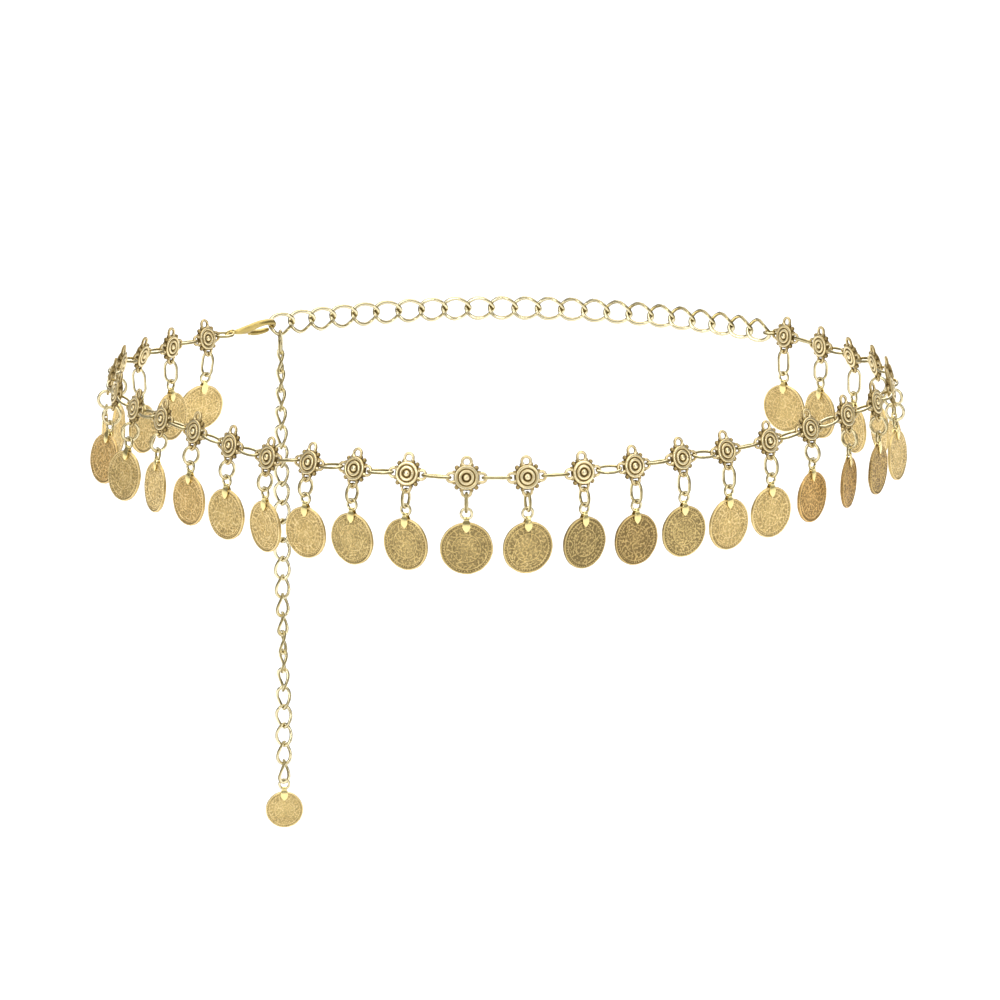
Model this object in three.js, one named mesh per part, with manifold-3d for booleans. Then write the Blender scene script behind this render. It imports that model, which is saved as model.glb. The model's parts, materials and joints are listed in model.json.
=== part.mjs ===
// Coin belt: a chain belt worn round the hips, in antique gold.
// Thirty cast rosettes with four eyelets each are joined by oval rings. From each rosette hang
// two rings, a folded bail and a coin. A plain chain closes the belt behind, hooked by a clasp,
// and its spare end hangs down with a smaller coin.
// Millimetres, +Z up, the front towards -Y, and the origin at the middle of the waist opening
// at the height of the rosettes' centres.

import * as THREE from 'three';
import { mergeVertices } from 'three/addons/utils/BufferGeometryUtils.js';
import Module from 'manifold-3d';

const wasm = await Module();
wasm.setup();

// The loop as seen from above: an oval, eased by small waves of two and three to the turn,
// which round the back, narrow the front and let it hang a little uneven.
const HALF_WIDTH = 125.5;
const HALF_DEPTH = 117.2;
const WIDER_BEHIND = 18.7;
const ROUNDER_BEHIND = 10.3;
const SQUARER_SIDES = 9;
const UNEVEN = { leftRight: 2, frontBack: 1.5, third: 1.5, corner: 0.5 };
const LOOP_DIVISIONS = 2000;

// How the rosettes sit along the loop.
const ROSETTES = 30;
const PITCH = 19;
const SHIFT_RIGHT = 2.5;
const ROSETTES_PER_STRIP = 3;

// A rosette: a cast plate domed on both faces, with an eyelet on each of its four sides.
const PLATE = { radius: 3.9, thickness: 0.8 };
const DOME = { radius: 3.3, height: 1.5, sides: 8 };
const EYELET = { hole: 0.95, wire: 0.7, corners: 6 };
const EYELET_OUT = { right: 4.85, top: 5.0, left: 4.85, bottom: 4.6 };

// Rings. A wire's size is its thickness. FUSED is how far rings that hold each other are sunk
// together where they make one solid, and the gaps part the solids that stay apart. A pulled ring
// gets narrower by PULLED_NARROWER of what it gains in length.
const WIRE_SIDES = 3;
const GAP = 0.3;
const SWINGING_GAP = 0.45;
const FUSED = 0.3;
const CONNECTOR = { wire: 0.8, width: 4.2, steps: 6 };
const UPPER_RING = { wire: 0.8, outer: 6.6, steps: 6 };
const LOWER_RING = { wire: 0.75, outer: 4.2, steps: 6 };
const PULLED_NARROWER = 0.5;
const END_RING_RIGHT = { wire: 0.8, outer: 5.1, steps: 6 };
const END_RING_LEFT = { wire: 0.8, steps: 6 };

// The drop below a rosette, measured down from the rosette's centre.
const COIN = { radius: 8.3, thickness: 1.1, sides: 12, centreDown: 22.5 };
const BAIL = { width: 2.2, thickness: 1.75, overCoin: 2.8, aboveCoin: 1.5 };

// The chain behind, its hanging end, and the coin on it.
const BACK_CHAIN = { links: 23, wire: 1.25, width: 8.5, twist: 1.25, steps: 6 };
const TAIL_CHAIN = { links: 24, wire: 1.1, width: 6.3, pitch: 6.8, twist: 0.9, steps: 6 };
const LINK_OVERLAP = 0.45;
const TAIL_TURN = { start: -40, perLink: 8, cubed: 0.0125 };
const TAIL_COIN = { radius: 6.6, thickness: 1.1, sides: 12 };

// The clasp: a hook with a lever that closes it, and an eye at its other end.
const HOOKED_LINK_END = 477.2;
const CLASP = { length: 18.5, width: 7.8, thickness: 2.0, bar: 1.5, tilt: 45, hollow: 9.5 };
const CLASP_NOSE = { from: 0.6, to: 0.8, slim: 0.2 };
const CLASP_CURVE_STEPS = 4;
const CLASP_EYE = { hole: 1.1, rim: 0.8, thickness: 1.2, corners: 8 };
const LEVER = { from: 1.2, to: 11.0, below: 0.4 };

// One row for each rosette, from the belt's left end behind, round the front, to its right end.
// lift: how far the rosette sits above the belt's mean height, in mm. tilt: degrees that the
// rosette's top leans inwards, as on the slope of a hip. facing: which way the coin's face looks,
// in degrees to the right of straight ahead. lean: degrees that the drop hangs outwards from the
// vertical. longer: how far its upper ring has been pulled into an oval, in mm.
const STATIONS = [
  { lift: 0.0, tilt: -10, facing: -150, lean: 12, longer: 3.0 },
  { lift: 0.5, tilt: 2, facing: -125, lean: 0, longer: 2.2 },
  { lift: 1.1, tilt: 13, facing: -119, lean: -4, longer: 3.4 },
  { lift: 2.2, tilt: 12, facing: -100, lean: 0, longer: 0 },
  { lift: 2.0, tilt: 14, facing: -85, lean: 6, longer: 0 },
  { lift: 1.0, tilt: 15, facing: -55, lean: 10, longer: 0 },
  { lift: -0.3, tilt: 16, facing: -50, lean: 9, longer: 0 },
  { lift: 0.0, tilt: 14, facing: -65, lean: 6, longer: 0 },
  { lift: -0.6, tilt: 15, facing: -51, lean: 4, longer: 0 },
  { lift: -1.7, tilt: 14, facing: -45, lean: 2, longer: 0 },
  { lift: -2.2, tilt: 15, facing: -53, lean: 0, longer: 0 },
  { lift: -0.7, tilt: 18, facing: -40, lean: 0, longer: 0 },
  { lift: 0.3, tilt: 17, facing: -38, lean: 0, longer: 0 },
  { lift: 1.0, tilt: 15, facing: -35, lean: 0, longer: 0 },
  { lift: 0.7, tilt: 13, facing: 0, lean: 0, longer: 0 },
  { lift: 0.4, tilt: 9, facing: 21, lean: 0, longer: 0 },
  { lift: 0.1, tilt: 11, facing: 38, lean: 0, longer: 0 },
  { lift: -0.3, tilt: 14, facing: 36, lean: 0, longer: 1.4 },
  { lift: -0.4, tilt: 16, facing: 34, lean: 0, longer: 1.6 },
  { lift: -1.1, tilt: 17, facing: 41, lean: 0, longer: 1.7 },
  { lift: -0.9, tilt: 14, facing: 39, lean: 0, longer: 1.1 },
  { lift: 0.0, tilt: 16, facing: 55, lean: 0, longer: 0 },
  { lift: 1.3, tilt: 14, facing: 71, lean: 0, longer: 0 },
  { lift: 1.8, tilt: 13, facing: 67, lean: 0, longer: 0 },
  { lift: 2.2, tilt: 14, facing: 67, lean: 4, longer: 0 },
  { lift: 2.5, tilt: 12, facing: 100, lean: 4, longer: 0 },
  { lift: 2.3, tilt: 11, facing: 107, lean: 3, longer: 0 },
  { lift: 1.1, tilt: 12, facing: 116, lean: 0, longer: 3.4 },
  { lift: 1.0, tilt: 0, facing: 124, lean: 0, longer: 1.8 },
  { lift: 1.0, tilt: -8, facing: 144, lean: 2, longer: 3.2 },
];

const antiqueGold = { color: 0xb08d4a, metalness: 1, roughness: 0.42 };
const coinGold = { color: 0xc29a4b, metalness: 1, roughness: 0.45 };
const ringGold = { color: 0xc7b079, metalness: 1, roughness: 0.3 };
const paleGold = { color: 0xd8c27c, metalness: 1, roughness: 0.22 };
const brightGold = { color: 0xe0b84a, metalness: 1, roughness: 0.2 };

const belt = new THREE.Group();

function addMesh(name, geometry, finish, parent = belt) {
  const mesh = new THREE.Mesh(geometry, new THREE.MeshStandardMaterial(finish));
  mesh.name = name;
  parent.add(mesh);
  return mesh;
}

// Joining and cutting

function solidOf(geometry) {
  const bare = geometry.clone();
  bare.deleteAttribute('normal');
  bare.deleteAttribute('uv');
  const merged = mergeVertices(bare);
  return new wasm.Manifold(new wasm.Mesh({
    numProp: 3,
    vertProperties: new Float32Array(merged.attributes.position.array),
    triVerts: new Uint32Array(merged.index.array),
  }));
}

function geometryOf(solid) {
  const mesh = solid.getMesh();
  const geometry = new THREE.BufferGeometry();
  geometry.setAttribute('position', new THREE.BufferAttribute(mesh.vertProperties, 3));
  geometry.setIndex(new THREE.BufferAttribute(mesh.triVerts, 1));
  return geometry;
}

function joined(geometries) {
  const solids = geometries.map(solidOf);
  return geometryOf(solids.reduce((whole, next) => whole.add(next)));
}

// The loop

class Loop extends THREE.Curve {
  getPoint(share, target = new THREE.Vector3()) {
    const turn = 2 * Math.PI * share - Math.PI / 2;
    const x = HALF_WIDTH * Math.cos(turn) + WIDER_BEHIND * Math.sin(2 * turn)
      + UNEVEN.leftRight * Math.cos(2 * turn) - UNEVEN.third * Math.cos(3 * turn)
      - UNEVEN.corner * Math.sin(3 * turn);
    const y = HALF_DEPTH * Math.sin(turn) - ROUNDER_BEHIND * Math.cos(2 * turn)
      - UNEVEN.frontBack * Math.sin(2 * turn) - UNEVEN.third * Math.cos(3 * turn)
      - SQUARER_SIDES * Math.sin(3 * turn);
    return target.set(x, y, 0);
  }
}

const loop = new Loop();
loop.arcLengthDivisions = LOOP_DIVISIONS;
const LOOP_LENGTH = loop.getLength();

// A place on the loop, that many millimetres to the right of its front, with its own axes:
// X along the belt, Y inwards and Z up.
function along(distance) {
  const share = (((distance / LOOP_LENGTH) % 1) + 1) % 1;
  const point = loop.getPointAt(share);
  const direction = loop.getTangentAt(share);
  const turned = Math.atan2(direction.y, direction.x);
  const matrix = new THREE.Matrix4().makeRotationZ(turned).setPosition(point);
  return { point, turned, matrix };
}

function stationDistance(index) {
  return (index - (ROSETTES - 1) / 2) * PITCH + SHIFT_RIGHT;
}

// Rings and links

// An oval taken in a few even steps, so that a straight step closes each end and each side
// of it reaches its full length. The twist lifts its corners in turn, as in a curb chain.
class Oval extends THREE.Curve {
  constructor(length, width, steps, twist) {
    super();
    Object.assign(this, { length, width, steps, twist });
  }

  getPoint(share, target = new THREE.Vector3()) {
    const turn = 2 * Math.PI * (share + 0.5 / this.steps);
    const reach = this.length / 2 / Math.cos(Math.PI / this.steps);
    return target.set(
      reach * Math.cos(turn),
      (this.width / 2) * Math.sin(turn),
      this.twist * Math.sin(2 * turn),
    );
  }

  getPointAt(share, target) {
    return this.getPoint(share, target);
  }

  getTangentAt(share, target) {
    return this.getTangent(share, target);
  }
}

// A closed wire in the XY plane, its length and width taken at the middle of the wire.
function wireOval(length, width, wire, steps, twist = 0) {
  const path = new Oval(length, width, steps, twist);
  return new THREE.TubeGeometry(path, steps, wire / 2, WIRE_SIDES, true);
}

function wireRing({ outer, wire, steps }) {
  const middle = outer - wire;
  return wireOval(middle, middle, wire, steps);
}

// A ring whose end towards +X has been pulled out, which makes it narrower.
function pulledRing(ring, longer) {
  const pulled = wireRing(ring);
  const { position } = pulled.attributes;
  const narrower = 1 - (PULLED_NARROWER * longer) / ring.outer;
  for (let index = 0; index < position.count; index += 1) {
    const x = position.getX(index);
    position.setX(index, x > ring.wire ? x + longer : x);
    position.setY(index, position.getY(index) * narrower);
  }
  return pulled;
}

// The corners of an even polygon with a flat side facing out, that far from its middle.
function corners(count, flat, out, direction) {
  const reach = flat / Math.cos(Math.PI / count);
  return Array.from({ length: count }, (_, index) => {
    const turn = direction + ((index + 0.5) * 2 * Math.PI) / count;
    return new THREE.Vector2(
      out * Math.cos(direction) + reach * Math.cos(turn),
      out * Math.sin(direction) + reach * Math.sin(turn),
    );
  });
}

// Rosettes

function rosetteSolid() {
  const outline = [];
  const holes = [];
  Object.values(EYELET_OUT).forEach((out, quarter) => {
    const direction = (quarter * Math.PI) / 2;
    const lobe = corners(EYELET.corners, EYELET.hole + EYELET.wire, out, direction);
    outline.push(lobe.at(-2), lobe.at(-1), lobe[0], lobe[1]);
    const between = direction + Math.PI / 4;
    outline.push(new THREE.Vector2(Math.cos(between), Math.sin(between)).multiplyScalar(PLATE.radius));
    holes.push(new THREE.Path(corners(EYELET.corners, EYELET.hole, out, direction)));
  });
  const shape = new THREE.Shape(outline);
  shape.holes = holes;
  const plate = new THREE.ExtrudeGeometry(shape, { depth: PLATE.thickness, bevelEnabled: false });
  plate.translate(0, 0, -PLATE.thickness / 2).rotateX(Math.PI / 2);
  const { radius, height, sides } = DOME;
  const profile = [
    new THREE.Vector2(0, -height),
    new THREE.Vector2(radius, 0),
    new THREE.Vector2(0, height),
  ];
  return joined([plate, new THREE.LatheGeometry(profile, sides)]);
}

function stationMatrix(index) {
  const { lift, tilt } = STATIONS[index];
  const { matrix } = along(stationDistance(index));
  const raised = new THREE.Matrix4().makeTranslation(0, 0, lift);
  const tilted = new THREE.Matrix4().makeRotationX(-THREE.MathUtils.degToRad(tilt));
  return raised.multiply(matrix).multiply(tilted);
}

// The oval between two rosettes, its ends that far from the rosettes' centres.
function connectorBetween(index, endOut) {
  const from = new THREE.Vector3(endOut, 0, 0).applyMatrix4(stationMatrix(index));
  const to = new THREE.Vector3(-endOut, 0, 0).applyMatrix4(stationMatrix(index + 1));
  const span = new THREE.Vector3().subVectors(to, from);
  const turn = new THREE.Quaternion().setFromUnitVectors(
    new THREE.Vector3(1, 0, 0),
    span.clone().normalize(),
  );
  const middle = from.clone().add(to).multiplyScalar(0.5);
  const place = new THREE.Matrix4().compose(middle, turn, new THREE.Vector3(1, 1, 1));
  const width = CONNECTOR.width - CONNECTOR.wire;
  const oval = wireOval(span.length(), width, CONNECTOR.wire, CONNECTOR.steps);
  return oval.applyMatrix4(place);
}

const rosette = rosetteSolid();
const touchingEnd = EYELET_OUT.right + EYELET.hole - CONNECTOR.wire / 2 + FUSED;
const looseEnd = EYELET_OUT.right + EYELET.hole - CONNECTOR.wire / 2 - GAP;
const strips = ROSETTES / ROSETTES_PER_STRIP;
const twoDigits = (number) => String(number).padStart(2, '0');

for (let strip = 0; strip < strips; strip += 1) {
  const first = strip * ROSETTES_PER_STRIP;
  const pieces = [];
  for (let index = first; index < first + ROSETTES_PER_STRIP; index += 1) {
    pieces.push(rosette.clone().applyMatrix4(stationMatrix(index)));
    if (index < first + ROSETTES_PER_STRIP - 1) pieces.push(connectorBetween(index, touchingEnd));
  }
  addMesh(`rosettes_${twoDigits(strip + 1)}`, joined(pieces), antiqueGold);
  if (strip < strips - 1) {
    const last = first + ROSETTES_PER_STRIP - 1;
    addMesh(`connector_${twoDigits(strip + 1)}`, connectorBetween(last, looseEnd), ringGold);
  }
}

// Coins

// A folded strap over a coin's top edge, a ring through it, and the coin, its face along Y.
function coinOnRing(coin, ring, ringMiddle, coinCentre) {
  const disc = new THREE.CylinderGeometry(coin.radius, coin.radius, coin.thickness, coin.sides);
  disc.translate(0, 0, coinCentre);
  const top = coinCentre + coin.radius;
  const height = BAIL.overCoin + BAIL.aboveCoin;
  const bail = new THREE.BoxGeometry(BAIL.width, BAIL.thickness, height);
  bail.translate(0, 0, top + BAIL.aboveCoin - height / 2);
  const hung = wireRing(ring).rotateZ(Math.PI / 2).rotateX(Math.PI / 2).translate(0, 0, ringMiddle);
  return [disc, bail, hung];
}

// Heights in a drop, measured up from its hinge: the middle of the bottom eyelet's wire.
const hingeDown = EYELET_OUT.bottom + EYELET.hole + EYELET.wire / 2;
const upperRingTop = EYELET.wire / 2 + SWINGING_GAP + UPPER_RING.wire / 2;
const upperRingMiddle = upperRingTop - (UPPER_RING.outer - UPPER_RING.wire) / 2;
const upperRingInside = upperRingMiddle - UPPER_RING.outer / 2 + UPPER_RING.wire;
const lowerRingMiddle = upperRingInside + LOWER_RING.wire - FUSED - LOWER_RING.outer / 2;

function coinDrop(turned, longer) {
  const upper = pulledRing(UPPER_RING, longer);
  upper.rotateY(Math.PI / 2).translate(0, 0, upperRingMiddle);
  const coinCentre = hingeDown - COIN.centreDown;
  const below = coinOnRing(COIN, LOWER_RING, lowerRingMiddle, coinCentre);
  below.forEach((piece) => piece.rotateZ(turned).translate(0, 0, -longer));
  return joined([upper, ...below]);
}

STATIONS.forEach(({ facing, lean, longer }, index) => {
  const { turned } = along(stationDistance(index));
  const own = THREE.MathUtils.degToRad(facing) - turned;
  const place = new THREE.Group();
  place.position.set(0, 0, -hingeDown).applyMatrix4(stationMatrix(index));
  place.rotation.z = turned;
  const turnedBack = Math.atan2(Math.sin(own), Math.cos(own));
  const drop = addMesh(`drop_${twoDigits(index + 1)}`, coinDrop(turnedBack, longer), coinGold, place);
  drop.rotation.x = -THREE.MathUtils.degToRad(lean);
  belt.add(place);
});

// The chain behind

const rightEnd = stationDistance(ROSETTES - 1);
const leftEnd = LOOP_LENGTH + stationDistance(0);
const rightLift = STATIONS[ROSETTES - 1].lift;
const leftLift = STATIONS[0].lift;

const endRingNear = rightEnd + looseEnd;
const endRingMiddle = endRingNear + (END_RING_RIGHT.outer - END_RING_RIGHT.wire) / 2;
const endRingFar = endRingNear + END_RING_RIGHT.outer - END_RING_RIGHT.wire;
const endRing = wireRing(END_RING_RIGHT).applyMatrix4(along(endRingMiddle).matrix);
addMesh('end_ring_right', endRing.translate(0, 0, rightLift), ringGold);

const chainStart = endRingFar - END_RING_RIGHT.wire / 2 - GAP - BACK_CHAIN.wire / 2;
const chainRun = HOOKED_LINK_END - chainStart;
const backPitch = (chainRun - LINK_OVERLAP * BACK_CHAIN.wire) / BACK_CHAIN.links;
const backLinkLength = backPitch + LINK_OVERLAP * BACK_CHAIN.wire;

function backLink(index) {
  const width = BACK_CHAIN.width - BACK_CHAIN.wire;
  const { wire, steps, twist } = BACK_CHAIN;
  const link = wireOval(backLinkLength, width, wire, steps, twist);
  const { matrix } = along(chainStart + backLinkLength / 2 + index * backPitch);
  const eased = rightLift + ((leftLift - rightLift) * index) / (BACK_CHAIN.links - 1);
  return link.rotateX(Math.PI / 2).applyMatrix4(matrix).translate(0, 0, eased);
}

const backLinks = Array.from({ length: BACK_CHAIN.links }, (_, index) => backLink(index));
addMesh('back_chain', joined(backLinks), paleGold);

// The hanging end

const hooked = along(chainStart + backLinkLength / 2 + (BACK_CHAIN.links - 1) * backPitch);
const tailHinge = leftLift - (BACK_CHAIN.width - BACK_CHAIN.wire) / 2;
const tailTop = BACK_CHAIN.wire / 2 + GAP + TAIL_CHAIN.wire / 2;
const tailLinkLength = TAIL_CHAIN.pitch + LINK_OVERLAP * TAIL_CHAIN.wire;

// How far a hanging link has turned from square to the belt.
function tailTurn(index) {
  const { start, perLink, cubed } = TAIL_TURN;
  return THREE.MathUtils.degToRad(start + perLink * index + cubed * index ** 3);
}

function tailLink(index) {
  const width = TAIL_CHAIN.width - TAIL_CHAIN.wire;
  const { wire, steps, twist, pitch } = TAIL_CHAIN;
  const link = wireOval(tailLinkLength, width, wire, steps, index === 0 ? 0 : twist);
  link.rotateY(Math.PI / 2).rotateZ(tailTurn(index));
  return link.translate(0, 0, tailTop - tailLinkLength / 2 - index * pitch);
}

const tail = new THREE.Group();
tail.position.set(hooked.point.x, hooked.point.y, tailHinge);
tail.rotation.z = hooked.turned;
belt.add(tail);

const tailLinks = Array.from({ length: TAIL_CHAIN.links }, (_, index) => tailLink(index));
addMesh('tail_chain', joined(tailLinks), paleGold, tail);

const tailEnd = tailTop - tailLinkLength - (TAIL_CHAIN.links - 1) * TAIL_CHAIN.pitch;
const tailRingTop = tailEnd + TAIL_CHAIN.wire / 2 + GAP + LOWER_RING.wire / 2;
const tailRingMiddle = tailRingTop - (LOWER_RING.outer - LOWER_RING.wire) / 2;
const tailRingInside = tailRingMiddle - LOWER_RING.outer / 2 + LOWER_RING.wire;
const tailCoinCentre = tailRingInside - BAIL.aboveCoin - TAIL_COIN.radius;
const cornerTurn = Math.PI / TAIL_CHAIN.steps;
const endWireTurn = Math.atan2(
  TAIL_CHAIN.twist * Math.sin(2 * cornerTurn),
  ((TAIL_CHAIN.width - TAIL_CHAIN.wire) / 2) * Math.sin(cornerTurn),
);
const tailCoin = coinOnRing(TAIL_COIN, LOWER_RING, tailRingMiddle, tailCoinCentre);
tailCoin.forEach((piece) => piece.rotateZ(tailTurn(TAIL_CHAIN.links - 1) + endWireTurn));
addMesh('tail_coin', joined(tailCoin), coinGold, tail);

// The clasp

// Seen flat: X runs from the hooked end to the eye, and the middle line is Y = 0. The outline
// narrows towards the eye, by shares of its own length and width.
function claspOutline() {
  const { length, width, bar, hollow } = CLASP;
  const from = length * CLASP_NOSE.from;
  const to = length * CLASP_NOSE.to;
  const slim = width * CLASP_NOSE.slim;
  const outline = new THREE.Shape();
  outline.moveTo(0, 0);
  outline.quadraticCurveTo(0, width / 2, width / 2, width / 2);
  outline.bezierCurveTo(from, width / 2, to, slim, length, bar / 2);
  outline.lineTo(length, -bar / 2);
  outline.bezierCurveTo(to, -slim, from, -width / 2, width / 2, -width / 2);
  outline.quadraticCurveTo(0, -width / 2, 0, 0);
  const window = new THREE.Path();
  const half = width / 2 - bar;
  window.moveTo(bar, 0);
  window.quadraticCurveTo(bar, -half, bar + half, -half);
  window.quadraticCurveTo(hollow, -half, hollow + bar, 0);
  window.quadraticCurveTo(hollow, half, bar + half, half);
  window.quadraticCurveTo(bar, half, bar, 0);
  outline.holes.push(window);
  return outline;
}

const claspPlate = new THREE.ExtrudeGeometry(claspOutline(), {
  depth: CLASP.thickness,
  bevelEnabled: false,
  curveSegments: CLASP_CURVE_STEPS,
});
claspPlate.translate(0, 0, -CLASP.thickness / 2);

// The lever is the stretch of one side that this box holds. The box is wider and thicker than
// the side, so that only its ends and its top edge cut.
function leverSpace(clearance) {
  const long = LEVER.to - LEVER.from + 2 * clearance;
  const box = new THREE.BoxGeometry(long, CLASP.width, 2 * CLASP.thickness);
  const middle = -LEVER.below + clearance - CLASP.width / 2;
  return box.translate((LEVER.from + LEVER.to) / 2, middle, 0);
}

const eyeOut = CLASP.length + CLASP_EYE.hole + CLASP_EYE.rim / 2;
const eyeShape = new THREE.Shape(corners(CLASP_EYE.corners, CLASP_EYE.hole + CLASP_EYE.rim, eyeOut, 0));
eyeShape.holes = [new THREE.Path(corners(CLASP_EYE.corners, CLASP_EYE.hole, eyeOut, 0))];
const eye = new THREE.ExtrudeGeometry(eyeShape, { depth: CLASP_EYE.thickness, bevelEnabled: false });
eye.translate(0, 0, -CLASP_EYE.thickness / 2);
const plate = solidOf(claspPlate);
const claspBody = plate.subtract(solidOf(leverSpace(GAP))).add(solidOf(eye));
const claspLever = plate.intersect(solidOf(leverSpace(0)));

const barOuter = HOOKED_LINK_END - BACK_CHAIN.wire / 2 - GAP - CLASP.bar;
const claspPlace = along(barOuter + eyeOut / 2).matrix;
const claspTurn = new THREE.Matrix4().makeRotationX(THREE.MathUtils.degToRad(CLASP.tilt));
const claspShift = new THREE.Matrix4().makeTranslation(-eyeOut / 2, 0, 0);
const claspMatrix = new THREE.Matrix4().makeTranslation(0, 0, leftLift);
claspMatrix.multiply(claspPlace).multiply(claspTurn).multiply(claspShift);
addMesh('clasp', geometryOf(claspBody).applyMatrix4(claspMatrix), brightGold);
addMesh('clasp_lever', geometryOf(claspLever).applyMatrix4(claspMatrix), brightGold);

const leftNear = leftEnd - looseEnd;
const leftFar = barOuter + eyeOut;
const leftRing = wireRing({ ...END_RING_LEFT, outer: leftNear - leftFar + END_RING_LEFT.wire });
leftRing.applyMatrix4(along((leftNear + leftFar) / 2).matrix);
addMesh('end_ring_left', leftRing.translate(0, 0, leftLift), ringGold);

export default belt;
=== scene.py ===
# %% [markdown]
# # A coin belt, made in Blender
# This belt is a loop of thirty cast rosettes. Under each one hangs a coin on two rings and a
# folded strap. A plain chain and a clasp close the loop behind. A CAD program has already fixed
# every size and place, and this lesson dresses that model: it loads it, models each piece finely
# at the origin, in millimetres, and puts copies where the CAD says.

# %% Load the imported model
import json
import math
import random
from collections import namedtuple

import bpy
import numpy as np
from mathutils import Matrix, Vector

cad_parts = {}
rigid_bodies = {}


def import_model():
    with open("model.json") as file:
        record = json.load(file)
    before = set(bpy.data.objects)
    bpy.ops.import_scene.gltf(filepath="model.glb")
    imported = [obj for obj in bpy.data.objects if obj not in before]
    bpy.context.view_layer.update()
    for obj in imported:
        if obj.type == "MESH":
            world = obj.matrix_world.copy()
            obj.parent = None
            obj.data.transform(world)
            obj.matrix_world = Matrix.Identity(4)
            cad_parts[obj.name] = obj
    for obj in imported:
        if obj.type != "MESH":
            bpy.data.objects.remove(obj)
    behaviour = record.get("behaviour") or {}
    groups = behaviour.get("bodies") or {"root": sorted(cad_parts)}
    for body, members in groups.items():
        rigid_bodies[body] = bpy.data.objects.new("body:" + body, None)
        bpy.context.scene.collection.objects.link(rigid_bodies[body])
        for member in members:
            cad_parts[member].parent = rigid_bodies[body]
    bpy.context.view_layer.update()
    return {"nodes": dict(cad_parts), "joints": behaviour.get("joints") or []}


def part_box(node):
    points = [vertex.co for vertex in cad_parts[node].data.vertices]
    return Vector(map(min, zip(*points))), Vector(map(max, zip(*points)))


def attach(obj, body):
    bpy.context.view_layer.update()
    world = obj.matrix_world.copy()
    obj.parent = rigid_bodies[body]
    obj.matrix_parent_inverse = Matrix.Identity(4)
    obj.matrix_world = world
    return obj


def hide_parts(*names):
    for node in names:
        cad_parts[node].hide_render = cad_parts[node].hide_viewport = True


MM = 0.001

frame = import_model()
joints = {joint["name"]: joint for joint in frame["joints"]}
print("CAD nodes:", len(frame["nodes"]), "joints:", len(joints))

# %% [markdown]
# ## The camera
# The photograph was taken from far off with a long lens, a little above the belt. A camera could
# be placed by eye, but a belt of known pitch gives it by sums: 2 m away, 13 degrees above the
# level, and a lens of about 219 mm on a 36 mm sensor. It aims a degree below the loop's middle.

# %% Place the camera
DISTANCE = 2.007
CAMERA_ABOVE = math.radians(12.96)
AIM_BELOW = math.radians(0.977)
AIM_RIGHT = math.radians(0.028)
LENS, SENSOR, SEES_TO = 219.1, 36, 50
UP = Vector((0, 0, 1))

camera_data = bpy.data.cameras.new("camera")
camera_data.lens = LENS
camera_data.sensor_width = SENSOR
camera_data.clip_end = SEES_TO
camera = bpy.data.objects.new("camera", camera_data)
bpy.context.scene.collection.objects.link(camera)
camera.location = (0, -DISTANCE * math.cos(CAMERA_ABOVE), DISTANCE * math.sin(CAMERA_ABOVE))
camera.rotation_euler = (math.pi / 2 - CAMERA_ABOVE - AIM_BELOW, 0, -AIM_RIGHT)
bpy.context.scene.camera = camera
print("camera at", [round(value, 3) for value in camera.location])

# %% [markdown]
# ## Helpers for modelling by hand
# An operator acts on all that is selected, so each helper first drops every selection. A
# primitive is only a start: its place goes into its mesh, then faces are picked by their place
# or normal and shaped in edit mode. Templates are in millimetres, as a jeweller would think.


# %% Pick, extrude and finish
def take(piece):
    """Makes a piece the only selected one, and the active one."""
    bpy.ops.object.select_all(action="DESELECT")
    piece.select_set(True)
    bpy.context.view_layer.objects.active = piece
    return piece


def just_added(name):
    """Names the primitive that was just added and moves its place into its mesh."""
    piece = bpy.context.active_object
    piece.name = name
    bpy.ops.object.transform_apply(location=True, rotation=True, scale=True)
    return piece


def open_with(piece, kind, test):
    """Opens a piece in edit mode, with only the faces or points that pass the test selected."""
    take(piece)
    bpy.ops.object.mode_set(mode="EDIT")
    bpy.ops.mesh.select_mode(type="FACE" if kind == "faces" else "VERT")
    bpy.ops.mesh.select_all(action="DESELECT")
    bpy.ops.object.mode_set(mode="OBJECT")
    if kind == "faces":
        for face in piece.data.polygons:
            face.select = test(face.center, face.normal)
    else:
        for point in piece.data.vertices:
            point.select = bool(test(point.co))
    bpy.ops.object.mode_set(mode="EDIT")


def close_edit():
    bpy.ops.object.mode_set(mode="OBJECT")


def everywhere(*place):
    return True


def resize_points(piece, test, size, about=(0, 0, 0)):
    """Resizes the points that pass the test, about a fixed one."""
    open_with(piece, "points", test)
    bpy.ops.transform.resize(value=size, center_override=about)
    close_edit()


def add_modifier(piece, kind, **settings):
    """Adds a modifier, sets it and applies it."""
    take(piece)
    bpy.ops.object.modifier_add(type=kind)
    modifier = piece.modifiers[-1]
    for name, value in settings.items():
        setattr(modifier, name, value)
    bpy.ops.object.modifier_apply(modifier=modifier.name)


def right_way_out(piece):
    """Merges doubled points and turns every face outwards."""
    open_with(piece, "faces", everywhere)
    bpy.ops.mesh.remove_doubles(threshold=0.001)
    bpy.ops.mesh.normals_make_consistent(inside=False)
    close_edit()


def smooth(piece, angle):
    take(piece)
    bpy.ops.object.shade_smooth_by_angle(angle=math.radians(angle))


def set_value(piece, name, values):
    """Writes a number for each point, which a material can read."""
    mesh = piece.data
    attribute = mesh.attributes.get(name) or mesh.attributes.new(name, "FLOAT", "POINT")
    attribute.data.foreach_set("value", np.broadcast_to(values, len(mesh.vertices)).astype(np.float32))


def values_of(piece, name):
    values = np.empty(len(piece.data.vertices), dtype=np.float32)
    piece.data.attributes[name].data.foreach_get("value", values)
    return values


def points_of(piece):
    places = np.empty(len(piece.data.vertices) * 3)
    piece.data.vertices.foreach_get("co", places)
    return places.reshape(-1, 3)


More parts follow.
